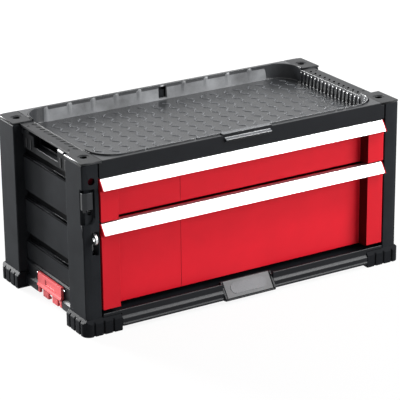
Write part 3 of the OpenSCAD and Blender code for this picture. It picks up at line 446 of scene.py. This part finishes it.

# %% [markdown]
# ## Soft edges
#
# No moulding has knife-sharp edges: each corner is rounded by a millimetre or
# so, and that narrow band catches the light; its paler finish adds a painted
# highlight. The measured solids have sharp corners, so each big one is copied,
# its flat triangles are joined into whole faces, and its sharp edges are
# bevelled. Every edge gets as much of the wanted width as the shortest edge
# beside it leaves room for, so that bands never run into each other. Long edges
# on the outside of a post, a side, a rim or a handle may get a wider band, and
# so a wider painted highlight; on those pieces the very short edges stay sharp.

# %% Weighing the edges
FACE, EDGE = 0, 1  # places of the two finishes on a rounded piece
WELD = 1e-6
FLAT, SHARP = math.radians(0.5), math.radians(25.0)  # joined below, rounded above
LONG_EDGE, SHORT_EDGE = 0.02, 0.01
OUTSIDE = 0.012  # this near to the outermost plane counts as the outside
ROOM_SHARE = 0.42  # of the shortest edge beside


def edge_width(e, outer, width, outer_width):
    """The width of the band that a sharp edge gets."""
    outside = all(abs(abs(v.co.x) - outer) < OUTSIDE for v in e.verts)
    wish = outer_width if e.calc_length() > LONG_EDGE and outside else width
    room = ROOM_SHARE * min(beside.calc_length() for v in e.verts for beside in v.link_edges)
    return min(wish, room)


def weigh_edges(mesh, width, outer_width):
    """Joins flat triangles and gives each sharp edge its width; returns how many it rounds."""
    outer = max(abs(v.co.x) for v in mesh.vertices)
    work = bmesh.new()
    work.from_mesh(mesh)
    bmesh.ops.remove_doubles(work, verts=work.verts, dist=WELD)
    bmesh.ops.dissolve_limit(work, angle_limit=FLAT, verts=work.verts, edges=work.edges)
    bmesh.ops.dissolve_degenerate(work, dist=WELD, edges=work.edges)
    share = work.edges.layers.float.new("bevel_weight_edge")
    count = 0
    for e in work.edges:
        if len(e.link_faces) != 2 or e.calc_face_angle(0.0) <= SHARP:
            continue
        if outer_width > width and e.calc_length() < SHORT_EDGE:
            continue
        e[share] = edge_width(e, outer, width, outer_width) / outer_width
        count += 1
    for face in work.faces:
        face.material_index = FACE
        face.smooth = True
    work.to_mesh(mesh)
    work.free()
    return count


print("edges above", round(math.degrees(SHARP)), "degrees are rounded")

# %% [markdown]
# ## Rounding a solid
#
# The bands themselves are cut by a bevel with a round profile. They take the
# edge finish, and weighted normals make the faces between them look flat. The
# faces stay where they are, so the size doesn't change.

# %% Rounding a solid


def new_piece(name, mesh, node, materials):
    """Makes an object of a mesh that rides with a node's body and has its slot."""
    piece = bpy.data.objects.new(name, mesh)
    bpy.context.scene.collection.objects.link(piece)
    piece.data.materials.clear()
    for mat in materials:
        piece.data.materials.append(mat)
    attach(piece, body_of[node])
    return piece


def bevelled(sharp_mesh, name, outer_width):
    """A new mesh with the weighed edges of a sharp one cut to bands."""
    blank = bpy.data.objects.new(name + "_blank", sharp_mesh)
    bpy.context.scene.collection.objects.link(blank)
    soft = blank.modifiers.new("soft edges", "BEVEL")
    soft.limit_method = "WEIGHT"
    soft.width = outer_width
    soft.segments = 2
    soft.profile = 0.5
    soft.use_clamp_overlap = False
    soft.material = EDGE
    graph = bpy.context.evaluated_depsgraph_get()
    mesh = bpy.data.meshes.new_from_object(blank.evaluated_get(graph))
    mesh.name = name + "_shell"
    bpy.data.objects.remove(blank)
    return mesh


def softened(node, width, outer_width):
    """A copy of a solid with its sharp edges rounded, which takes the solid's place."""
    plain = finishes[slot_of[node]]
    pair = [plain, highlight_edge_finish.get(slot_of[node], plain)]
    sharp_mesh = nodes[node].data.copy()
    count = weigh_edges(sharp_mesh, width, outer_width)
    sharp_mesh.materials.clear()
    for mat in pair:
        sharp_mesh.materials.append(mat)
    mesh = bevelled(sharp_mesh, node, outer_width)
    bpy.data.meshes.remove(sharp_mesh)
    band = sum(face.area for face in mesh.polygons if face.material_index == EDGE)
    piece = new_piece(node + "_shell", mesh, node, pair)
    weigh = piece.modifiers.new("even faces", "WEIGHTED_NORMAL")
    weigh.weight = 100
    weigh.keep_sharp = False
    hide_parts(node)
    print(node, "rounded by", round(width * 1000, 2), "mm on", count, "edges,",
          round(band * 1e4, 1), "cm2 of band")
    return piece


print("a band has the finish at place", EDGE)

# %% [markdown]
# ## Widths of the bands
#
# Each piece states two widths: one for its sharp edges and one for the long
# edges on its outside. The thick mouldings get the widest bands, and thin metal
# such as the pulls gets the narrowest.

# %% Rounded pieces
rounded = {}
for node, width, outer_width in (
    ("base_frame", 0.0009, 0.0009), ("corner_feet", 0.0014, 0.0014),
    ("left_side", 0.0012, 0.0024), ("right_side", 0.0012, 0.0024),
    ("left_front_post", 0.0010, 0.0022), ("right_front_post", 0.0010, 0.0022),
    ("left_rear_post", 0.0010, 0.0022), ("right_rear_post", 0.0010, 0.0022),
    ("left_handle_housing", 0.0009, 0.0009), ("right_handle_housing", 0.0009, 0.0009),
    ("left_top_cap", 0.0006, 0.0018), ("right_top_cap", 0.0006, 0.0018),
    ("top_tray", 0.0010, 0.0010), ("back_panel", 0.0006, 0.0006),
    ("upper_drawer_front", 0.0007, 0.0007), ("lower_drawer_front", 0.0007, 0.0007),
    ("upper_drawer_pull", 0.0004, 0.0004), ("lower_drawer_pull", 0.0004, 0.0004),
    ("left_handle", 0.0008, 0.0020), ("right_handle", 0.0008, 0.0020),
    ("left_latch", 0.0008, 0.0008), ("right_latch", 0.0008, 0.0008),
    ("lock_slider", 0.0008, 0.0008), ("badge_plate", 0.0004, 0.0004),
    ("upper_drawer_tub", 0.0006, 0.0006), ("lower_drawer_tub", 0.0006, 0.0006),
    ("padlock_eye", 0.0004, 0.0004),
):
    rounded[node] = softened(node, width, outer_width)

# %% [markdown]
# ## Faces with a finish of their own
#
# Some faces of a moulding get a finish of their own. A face is picked by where
# it lies and where it looks. On the drawer fronts the recessed middle is a
# little paler than the strips, which is painted light that offsets the shade of
# the recess, while the steep walls beside it get a deep dull red as painted
# shade.

# %% Faces with a finish of their own
STRAIGHT = 0.9  # a normal with this share of an axis looks straight along it
NEAR = 0.0005  # a face this near to a plane lies in it
HAIR = 0.0002


def refinish(node, material, test, among=(FACE,)):
    """Gives those faces of a rounded solid that pass a test another finish."""
    mesh = rounded[node].data
    place = len(mesh.materials)
    mesh.materials.append(material)
    count = 0
    for face in mesh.polygons:
        if face.material_index in among and test(face.center, face.normal):
            face.material_index = place
            count += 1
    print(node, "has", count, "faces of", material.name)


# The recess red is paler than the strips: painted light that offsets the shade of the recess.
painted_light_recess_red = moulded_plastic("recess red with painted light", (0.77, 0.013, 0.0275),
                             0.33, 0.17, 0.00001, 0.03)
# The flank red is painted shade on the steep walls beside the recess.
painted_shade_flank_red = moulded_plastic("painted shade flank red", (0.085, 0.0025, 0.005),
                            0.5, 0.04, 0.00001, 0.05)
recess_from_y, flank_to_y = -0.121, -0.117
flank_from_x, flank_to_x, flank_tilt = 0.21, 0.225, 0.8
for node in ("upper_drawer_front", "lower_drawer_front"):
    refinish(node, painted_light_recess_red, lambda at, out: out.y < -STRAIGHT and at.y > recess_from_y)
    refinish(node, painted_shade_flank_red, lambda at, out: abs(out.x) > flank_tilt and at.y < flank_to_y
             and flank_from_x < abs(at.x) < flank_to_x)

# %% [markdown]
# ## Painted shade in the hollows
#
# The grooves in the sides, the slots in the rims and the tops of the handle
# pockets get a near-black finish, which is painted shade, so they are the
# darkest places of the box. The outward faces of the pockets match the posts.

# %% Grooves and slots
# Painted shade: a near-black for the insides of grooves, slots and pockets.
painted_shade_black = moulded_plastic("painted shade black", (0.004, 0.0044, 0.005), 0.6, 0.01)
side_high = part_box("right_side")[1]
groove_deep = 0.0062
slot_from_x, slot_to_x, slot_end_y = 0.2444, 0.2535, 0.081
for node in ("left_side", "right_side"):
    refinish(node, painted_shade_black, lambda at, out:
             side_high[0] - groove_deep < abs(at.x) < side_high[0] - HAIR
             and (abs(out.x) > STRAIGHT or out.z < -STRAIGHT))
for node in ("left_top_cap", "right_top_cap"):
    refinish(node, painted_shade_black, lambda at, out: abs(out.z) < STRAIGHT
             and slot_from_x < abs(at.x) < slot_to_x and abs(at.y) < slot_end_y, (FACE, EDGE))
for node in ("left_handle_housing", "right_handle_housing"):
    refinish(node, painted_shade_black, lambda at, out: out.z > STRAIGHT)
    refinish(node, finishes["case_plastic"], lambda at, out: abs(out.x) > STRAIGHT)

# %% [markdown]
# ## Bands with a dim painted highlight
#
# The slanted band of the front rail, the outer slope of the rims and the edges
# of the feet get a paler band, a painted highlight dimmer than that of a sharp
# edge, and the feet are scuffed all over. The inner edges of the rims take the
# same painted highlight as the edges of the posts. The ridges of the handles
# keep the grain of the posts. The front lip of the tray and the grip below it
# take the painted highlight of the tray's edges.

# %% Rims, feet, handles and rail
# A band a little paler than the black: a dim painted highlight.
dim_painted_highlight = painted_highlight_edge("dim painted highlight band", (0.028, 0.03, 0.033), 0.28, 0.2)
foot_black = moulded_plastic("scuffed foot plastic", (0.013, 0.014, 0.016), 0.45, 0.02)
slope_low, slope_high = 0.2, 0.97
rail_slope_high, rail_forward = 0.93, 0.3
rim_inner_x, rim_outer_x, rail_end_x = 0.2455, 0.27, 0.25
for node in ("left_top_cap", "right_top_cap"):
    refinish(node, black_highlight_edge, lambda at, out: abs(at.x) < rim_inner_x, (EDGE,))
    refinish(node, dim_painted_highlight, lambda at, out: slope_low < out.z < slope_high
             and abs(at.x) > rim_outer_x, (FACE, EDGE))
refinish("corner_feet", foot_black, lambda at, out: True)
refinish("corner_feet", dim_painted_highlight, lambda at, out: True, (EDGE,))
for node in ("left_handle", "right_handle"):
    outermost = max(abs(v.co.x) for v in rounded[node].data.vertices)
    refinish(node, finishes["case_plastic"], lambda at, out:
             abs(at.x) > outermost - HAIR and abs(out.x) > STRAIGHT)
refinish("base_frame", dim_painted_highlight, lambda at, out: out.y < -rail_forward
         and slope_low < out.z < rail_slope_high and abs(at.x) < rail_end_x)
tray_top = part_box("top_tray")[1][2]
fascia_y, grip_y, grip_drop, upward_tilt = -0.126, -0.1356, 0.004, 0.5
# The front lip and the grip take the tray's painted highlight edge finish.
refinish("top_tray", tray_highlight_edge, lambda at, out: at.y < fascia_y and out.z > upward_tilt
         and (at.z > tray_top - NEAR or (at.y < grip_y and at.z < tray_top - grip_drop)))

# %% [markdown]
# ## Painted shade on the flange of the pulls
#
# The face of a pull is polished bright before it is anodised. The flange on
# top gets a much darker, duller finish, which is painted shade. The faces of the
# rounded pulls that look straight up take it.

# %% Painted shade on the flanges
# Painted shade: a darker tint for the top flange of each pull.
painted_shade_flange = brushed_metal("aluminium flange with painted shade", (0.34, 0.35, 0.37), 0.42, along_x)
for node in ("upper_drawer_pull", "lower_drawer_pull"):
    pull_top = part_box(node)[1][2]
    refinish(node, painted_shade_flange, lambda at, out: out.z > STRAIGHT and at.z > pull_top - NEAR)

# %% [markdown]
# ## Sizes of the tray
#
# The relief of the tray needs its inside measures. They are worked out from
# the rim beside it: the side walls of the tray begin where the corner blocks
# end, and its front and back rims are seven millimetres wide.

# %% Inside of the tray
lip = 0.0025
rim = 0.007
corner = 0.0375
tray_deep = 0.023
cap_low, cap_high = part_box("right_top_cap")
inside_x = cap_low[0] - lip
inside_y = cap_high[1] - rim - lip
rim_top = cap_high[2]
floor_z = rim_top - tray_deep
print("tray inside", round(2 * inside_x, 4), "by", round(2 * inside_y, 4),
      "floor at", round(floor_z, 4))

# %% [markdown]
# ## Two grains on the tray
#
# The tray and its fascias are one moulding, but its mould is grained by areas.
# The outside matches the dull posts. The inside, where things slide about, is
# left nearly smooth and shines at a low angle. Every face of the rounded tray
# is therefore sorted by where it lies. The outer slopes of its end lips, beside
# the slotted rims, get the same painted shade as the slots.

# %% Inside and outside of the tray
inside_smooth = moulded_plastic("smooth tray plastic", (0.036, 0.0384, 0.042), 0.3, 0.62)
level_room = 0.001
refinish("top_tray", inside_smooth, lambda at, out: abs(at.x) < inside_x + NEAR
         and abs(at.y) < inside_y + NEAR and at.z > floor_z - level_room)
refinish("top_tray", finishes["case_plastic"], lambda at, out: out.z < STRAIGHT)
all_so_far = range(len(rounded["top_tray"].data.materials))
# The outer slopes of the end lips get the same painted shade.
refinish("top_tray", painted_shade_black, lambda at, out: at.z > rim_top - level_room
         and slope_low < out.z < slope_high and out.x * at.x > 0.0 and abs(out.x) > slope_low,
         all_so_far)

# %% [markdown]
# ## Tools for relief
#
# The small relief is written point by point. Most of it is a stack of rings: a
# closed line of points at the bottom, the same line higher up, and so on, with
# faces drawn from each ring to the next.

# %% Tools for relief


def finish_mesh(work, name):
    """Turns a bmesh into a smooth mesh with outward normals."""
    bmesh.ops.recalc_face_normals(work, faces=work.faces)
    for face in work.faces:
        face.smooth = True
    mesh = bpy.data.meshes.new(name)
    work.to_mesh(mesh)
    work.free()
    return mesh


def skin(work, rings):
    """Joins rings of points, given from one end to the other, into a closed body."""
    loops = [[work.verts.new(point) for point in ring] for ring in rings]
    count = len(loops[0])
    for low, high in zip(loops, loops[1:]):
        for k in range(count):
            work.faces.new((low[k], low[(k + 1) % count], high[(k + 1) % count], high[k]))
    work.faces.new(loops[-1])
    work.faces.new(list(reversed(loops[0])))


SUNK = 0.0002  # relief starts this far inside the surface it stands on
print("relief starts", 1000 * SUNK, "mm below the surface")

# %% [markdown]
# ## Tread on the tray floor
#
# The tray floor is a chequer tread, as on a van's step: short raised bars that
# lean left and right by turns, so that things laid on it don't slide. A bump
# texture would vanish at a low angle, so the bars are real: one low bar with
# round ends is written as a ring of points and laid on a grid wherever the
# whole bar fits inside the tray's round corners.

# %% Tread
bar_length, bar_width, bar_height = 0.0122, 0.0027, 0.0009
step_x, step_y = 0.022, 0.013
rows_x, rows_y = 11, 10  # to each side of the middle
bar_lean, bar_margin = 45.0, 0.009
# share of the height, and how much shorter and slimmer the bar is there
bar_rings = ((0.4, 0.0), (0.8, 0.0008), (1.0, 0.002))


def bar_outline(length, width, steps=4):
    """Outline of a bar with round ends, as points (along, across)."""
    half = (length - width) / 2
    points = []
    for end, start in ((half, -90.0), (-half, 90.0)):
        for k in range(steps + 1):
            turn = math.radians(start + 180.0 * k / steps)
            points.append((end + math.cos(turn) * width / 2, math.sin(turn) * width / 2))
    return points


def inside_tray(x, y, margin):
    """Whether a point lies inside the tray's round rectangle, less a margin."""
    over_x = max(abs(x) - (inside_x - corner), 0.0)
    over_y = max(abs(y) - (inside_y - corner), 0.0)
    return math.hypot(over_x, over_y) < corner - margin


def laid(outline, x, y, z, lean):
    """Points of an outline turned by lean and moved to x, y, z."""
    return [(x + a * math.cos(lean) - b * math.sin(lean),
             y + a * math.sin(lean) + b * math.cos(lean), z) for a, b in outline]


levels = [(-SUNK, bar_outline(bar_length, bar_width))]
for share, slimmer in bar_rings:
    levels.append((share * bar_height, bar_outline(bar_length - slimmer, bar_width - slimmer)))
work = bmesh.new()
bars = 0
for i in range(-rows_x, rows_x + 1):
    for j in range(-rows_y, rows_y + 1):
        x, y = i * step_x, j * step_y
        if inside_tray(x, y, bar_margin):
            lean = math.radians(bar_lean if (i + j) % 2 else -bar_lean)
            skin(work, [laid(outline, x, y, floor_z + rise_z, lean)
                        for rise_z, outline in levels])
            bars += 1
# The bars take the tray's pale edge finish, a painted highlight on each bar.
new_piece("tray_tread", finish_mesh(work, "tray_tread"), "top_tray", [tray_highlight_edge])
print(bars, "bars on the tray floor")

# %% [markdown]
# ## Flutes on the end walls of the tray
#
# Both end walls of the tray are stiffened by a row of upright half-round
# flutes. Each one is a half circle drawn up the wall, which tapers to nothing
# just under the rim. They are merged into one piece per wall.

# %% Flutes
flute_pitch, flute_width, flute_out = 0.010, 0.0048, 0.0015
flute_top = rim_top - 0.0045
flute_taper, flute_tip, flute_sunk = 0.003, 0.15, 0.0003
rows = range(-8, 9)


def half_round(width, out, steps=6):
    """Half an ellipse standing on a wall: (along the wall, out of the wall)."""
    points = [(-width / 2, -flute_sunk), (width / 2, -flute_sunk)]
    for k in range(steps + 1):
        turn = math.pi * k / steps
        points.append((math.cos(turn) * width / 2, math.sin(turn) * out))
    return points


for side, wall_name in ((-1, "left"), (1, "right")):
    work = bmesh.new()
    for row in rows:
        heights = ((floor_z - SUNK, 1.0), (flute_top - flute_taper, 1.0), (flute_top, flute_tip))
        skin(work, [[(side * (inside_x - out * share), row * flute_pitch + run, z)
                     for run, out in half_round(flute_width, flute_out)] for z, share in heights])
    name = "tray_flutes_" + wall_name
    new_piece(name, finish_mesh(work, name), "top_tray", [inside_smooth])
print(len(rows), "flutes on each end wall")

# %% [markdown]
# ## Pockets in the back wall of the tray
#
# The back wall is moulded as a row of shallow scoops with ribs between them.
# A scoop is a smooth hollow that leans back towards its top. The wall is
# written as one height for each place on it, which is worked out here.

# %% Height of the back wall
rib_pitch, rib_shift, rib_half = 0.041, 0.006, 0.0032
rib_crown, rib_share = 0.0008, 0.7
sill_top, sill_share = 0.25, 0.8
scoop_share, scoop_power = 0.75, 1.3
end_run, top_run = 0.006, 0.1
relief = 0.0020
wall_half = inside_x - corner


def smooth(value):
    """Eases 0 to 1."""
    value = min(max(value, 0.0), 1.0)
    return value * value * (3 - 2 * value)


def wall_height(x, v):
    """How far the wall stands out at x and at share v of its height."""
    nearest = abs((x - rib_shift + rib_pitch / 2) % rib_pitch - rib_pitch / 2)
    rib = 1 - smooth((nearest - rib_crown) / rib_half)
    sill = sill_share * (1 - smooth(v / sill_top))
    scoop = scoop_share * (1 - v) ** scoop_power
    ends = smooth((wall_half - abs(x)) / end_run)
    return relief * max(rib_share * rib, sill, scoop) * smooth((1 - v) / top_run) * ends


print("a rib stands out", round(1000 * wall_height(rib_shift, 0.5), 2), "mm at half height")

# %% [markdown]
# ## Pockets as a mesh
#
# The height is laid over a grid of points, and the opening for the catch near
# the middle is left free. The scoops get a much paler, cloudier skin than the
# rest of the tray; the paler colour is a painted sheen, and it sets them off
# from its floor.

# %% Back wall pockets
wall_over, opening_under, opening_over = 0.0012, 0.0012, 0.0022
wall_top = rim_top + wall_over
columns, upward = 160, 10
opening_x = (0.0000, 0.0140)
opening_z = (floor_z + opening_over, rim_top - opening_under)


def in_opening(x, z):
    """Whether a place on the wall lies in the opening for the catch."""
    return opening_x[0] < x < opening_x[1] and opening_z[0] < z < opening_z[1]


work = bmesh.new()
grid = []
for i in range(columns + 1):
    x = wall_half * (2 * i / columns - 1)
    column = []
    for k in range(upward + 1):
        v = k / upward
        z = floor_z - SUNK + (wall_top - floor_z) * v
        column.append(work.verts.new((x, inside_y + SUNK - wall_height(x, v), z)))
    grid.append(column)
faces = 0
for left, right_hand in zip(grid, grid[1:]):
    for k in range(upward):
        x = (left[k].co.x + right_hand[k].co.x) / 2
        z = (left[k].co.z + left[k + 1].co.z) / 2
        if not in_opening(x, z):
            work.faces.new((left[k], right_hand[k], right_hand[k + 1], left[k + 1]))
            faces += 1
for face in work.faces:
    face.smooth = True
mesh = bpy.data.meshes.new("tray_back_pockets")
work.to_mesh(mesh)
work.free()
# The pale colour of the scoops is a painted sheen; the clouds are random tone.
painted_sheen_pocket_skin = moulded_plastic("scooped plastic with painted sheen", (0.22, 0.226, 0.235), 0.3, 0.6,
                              clouds=0.45)
new_piece("tray_back_pockets", mesh, "top_tray", [painted_sheen_pocket_skin])
print(faces, "faces of scooped wall,", round(2 * wall_half / rib_pitch), "pockets")

# %% [markdown]
# ## Ledge along the side rails
#
# Between the posts the side rail of the base stands a little proud of the side
# panel, with a slanted top that catches the light. The top also takes the pale
# edge finish, a painted highlight, so it shows as one thin bright line. It is
# drawn as a short outline and pulled along from post to post.

# %% Side rail ledge
ledge_out, ledge_low, ledge_high = 0.0020, 0.0425, 0.0468
ledge_sunk, ledge_chamfer, ledge_slope = 0.0003, 0.0008, 0.0020
post_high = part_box("right_front_post")[1]
ledge_half = -post_high[1] + NEAR
wall_x = side_high[0]
outline = [(wall_x - ledge_sunk, ledge_low), (wall_x + 0.6 * ledge_out, ledge_low),
           (wall_x + ledge_out, ledge_low + ledge_chamfer),
           (wall_x + ledge_out, ledge_high - ledge_slope), (wall_x - ledge_sunk, ledge_high)]
for side, hand in ((-1, "left"), (1, "right")):
    work = bmesh.new()
    skin(work, [[(side * x, y, z) for x, z in outline] for y in (-ledge_half, ledge_half)])
    mesh = finish_mesh(work, "rail_ledge_" + hand)
    # Faces that look up take the pale edge finish, a painted highlight.
    for face in mesh.polygons:
        face.use_smooth = False
        if face.normal.z > 0.5:
            face.material_index = EDGE
    new_piece("rail_ledge_" + hand, mesh, "base_frame", [finishes["side_plastic"], side_highlight_edge])
print("ledges", round(2 * ledge_half, 3), "m long")

# %% [markdown]
# ## Witness lines on the drawer fronts
#
# The recessed middle of each front is moulded against two inserts of the
# mould. Where they meet, a hair-thin raised line is left in the plastic. It is
# built as a slim strip with a deeper red, which is painted shade along the line.

# %% Witness lines
line_x = -0.106
line_width, line_out, line_sunk = 0.0007, 0.00025, 0.0001
# A deeper red: painted shade along the witness line.
painted_shade_line_red = moulded_plastic("shaded witness line", (0.3, 0.004, 0.009), 0.4, 0.1, 0.00001, 0.03)
strip_y, recess = -0.136, 0.018
strip_lift = 0.0015
pull_cover = 0.017
for node in ("upper_drawer_front", "lower_drawer_front"):
    low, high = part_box(node)
    face_y = strip_y + recess
    bottom, top = low[2] + strip_lift, high[2] - pull_cover
    work = bmesh.new()
    ring = [(line_x - line_width / 2, face_y + line_sunk),
            (line_x + line_width / 2, face_y + line_sunk),
            (line_x + line_width / 4, face_y - line_out),
            (line_x - line_width / 4, face_y - line_out)]
    skin(work, [[(x, y, z) for x, y in ring] for z in (bottom, top)])
    name = node.replace("front", "witness_line")
    new_piece(name, finish_mesh(work, name), node, [painted_shade_line_red])
    print(name, "from", round(bottom, 4), "to", round(top, 4))
